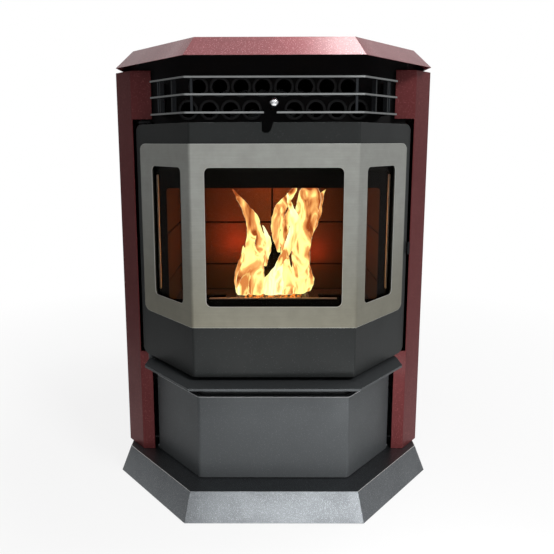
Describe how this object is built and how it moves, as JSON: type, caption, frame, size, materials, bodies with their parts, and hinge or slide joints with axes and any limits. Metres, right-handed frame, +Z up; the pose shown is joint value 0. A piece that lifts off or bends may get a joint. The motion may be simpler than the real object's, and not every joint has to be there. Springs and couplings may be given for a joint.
{
  "type": "pellet stove",
  "caption": "Freestanding pellet stove with a bay-shaped glass door, ash drawer, warm-air grille with a tube scraper, and a sloped top with a lid over the pellet hopper.",
  "frame": {"origin": "on the floor, at the centre of the stove's footprint", "axes": "+X to the right of someone facing the stove, +Y towards its back, +Z up"},
  "size_m": [0.6256, 0.664, 0.8736],
  "materials": {
    "burgundy_paint": "satin metallic",
    "charcoal_paint": "satin textured",
    "stove_black": "matt heat-resistant",
    "brushed_trim": "brushed",
    "bar_steel": "satin",
    "zinc_sheet": "zinc coated",
    "chrome_knob": "polished",
    "stove_glass": "polished",
    "display_glass": "polished",
    "rope_seal": "braided",
    "firebrick": "rough speckled",
    "cast_iron": "rough",
    "foot_rubber": "matt",
    "black_plastic": "fine grain",
    "button_plastic": "matt",
    "circuit_board": "lacquered"
  },
  "bodies": {
    "cabinet": {"plinth_skirt": "charcoal_paint", "foot_front_left": "foot_rubber", "foot_front_right": "foot_rubber", "foot_rear_left": "foot_rubber", "foot_rear_right": "foot_rubber", "base_pan": "zinc_sheet", "left_side_panel": "burgundy_paint", "right_side_panel": "burgundy_paint", "rear_panel": "zinc_sheet", "top_cover": "burgundy_paint", "lid_gasket": "rope_seal", "ash_lip": "charcoal_paint", "air_grille": "bar_steel", "door_pivot_upper": "stove_black", "latch_strike": "zinc_sheet", "firebox_shell": "stove_black", "firebox_hearth": "cast_iron", "firebrick_back": "firebrick", "firebrick_left": "firebrick", "firebrick_right": "firebrick", "baffle_plate": "cast_iron", "heat_exchanger": "stove_black", "igniter": "zinc_sheet", "hopper": "zinc_sheet", "feed_chute": "stove_black", "auger_tube": "zinc_sheet", "auger_motor": "zinc_sheet", "exhaust_housing": "stove_black", "exhaust_motor": "stove_black", "flue_outlet": "stove_black", "air_intake": "zinc_sheet", "air_plenum": "zinc_sheet", "room_fan_housing": "zinc_sheet", "room_fan_motor": "stove_black", "control_panel": "black_plastic", "display_window": "display_glass", "control_board": "circuit_board", "power_inlet": "black_plastic"},
    "door": {"door_frame": "charcoal_paint", "door_trim": "brushed_trim", "glass_front": "stove_glass", "glass_left": "stove_glass", "glass_right": "stove_glass", "door_gasket": "rope_seal"},
    "latch": {"door_latch": "stove_black"},
    "lid": {"hopper_lid": "burgundy_paint", "lid_handle": "stove_black"},
    "ash_drawer": {"ash_drawer_front": "charcoal_paint", "ash_pan": "zinc_sheet"},
    "scraper": {"scraper_rod": "zinc_sheet", "scraper_knob": "chrome_knob"},
    "pot": {"burn_pot": "cast_iron"},
    "auger": {"auger_screw": "cast_iron"},
    "exhaust_wheel": {"exhaust_impeller": "zinc_sheet"},
    "room_wheel": {"room_fan_wheel": "zinc_sheet"},
    "power_key": {"button_power": "button_plastic"},
    "up_key": {"button_up": "button_plastic"},
    "down_key": {"button_down": "button_plastic"},
    "mode_key": {"button_mode": "button_plastic"},
    "timer_key": {"button_timer": "button_plastic"}
  },
  "joints": [
    {"name": "door_swing", "type": "hinge", "parent": "cabinet", "child": "door", "pos_m": [-0.238, -0.16409, 0.48], "axis": [0, 0, -1], "range_deg": [0, 105]},
    {"name": "latch_turn", "type": "hinge", "parent": "door", "child": "latch", "pos_m": [0.245, -0.1513, 0.47], "axis": [0, -1, 0], "range_deg": [0, 70]},
    {"name": "lid_hinge", "type": "hinge", "parent": "cabinet", "child": "lid", "pos_m": [0, 0.28995, 0.8442], "axis": [-1, 0, 0], "range_deg": [0, 95]},
    {"name": "ash_drawer_slide", "type": "slide", "parent": "cabinet", "child": "ash_drawer", "axis": [0, -1, 0], "range_m": [0, 0.2]},
    {"name": "scraper_slide", "type": "slide", "parent": "cabinet", "child": "scraper", "axis": [0, -1, 0], "range_m": [0, 0.15]},
    {"name": "burn_pot_lift", "type": "slide", "parent": "cabinet", "child": "pot", "axis": [0, 0, 1], "range_m": [0, 0.1]},
    {"name": "auger_turn", "type": "hinge", "parent": "cabinet", "child": "auger", "pos_m": [0, 0.21894, 0.42008], "axis": [0, -0.7071, 0.7071], "continuous": true},
    {"name": "exhaust_fan_spin", "type": "hinge", "parent": "cabinet", "child": "exhaust_wheel", "pos_m": [-0.085, 0.17401, 0.19], "axis": [1, 0, 0], "continuous": true},
    {"name": "room_fan_spin", "type": "hinge", "parent": "cabinet", "child": "room_wheel", "pos_m": [0.11, 0.17001, 0.2], "axis": [1, 0, 0], "continuous": true},
    {"name": "power_press", "type": "slide", "parent": "cabinet", "child": "power_key", "axis": [-1, 0, 0], "range_m": [0, 0.0015], "stiffness_N_per_m": 400, "springref_m": -0.002},
    {"name": "up_press", "type": "slide", "parent": "cabinet", "child": "up_key", "axis": [-1, 0, 0], "range_m": [0, 0.0015], "stiffness_N_per_m": 400, "springref_m": -0.002},
    {"name": "down_press", "type": "slide", "parent": "cabinet", "child": "down_key", "axis": [-1, 0, 0], "range_m": [0, 0.0015], "stiffness_N_per_m": 400, "springref_m": -0.002},
    {"name": "mode_press", "type": "slide", "parent": "cabinet", "child": "mode_key", "axis": [-1, 0, 0], "range_m": [0, 0.0015], "stiffness_N_per_m": 400, "springref_m": -0.002},
    {"name": "timer_press", "type": "slide", "parent": "cabinet", "child": "timer_key", "axis": [-1, 0, 0], "range_m": [0, 0.0015], "stiffness_N_per_m": 400, "springref_m": -0.002}
  ]
}
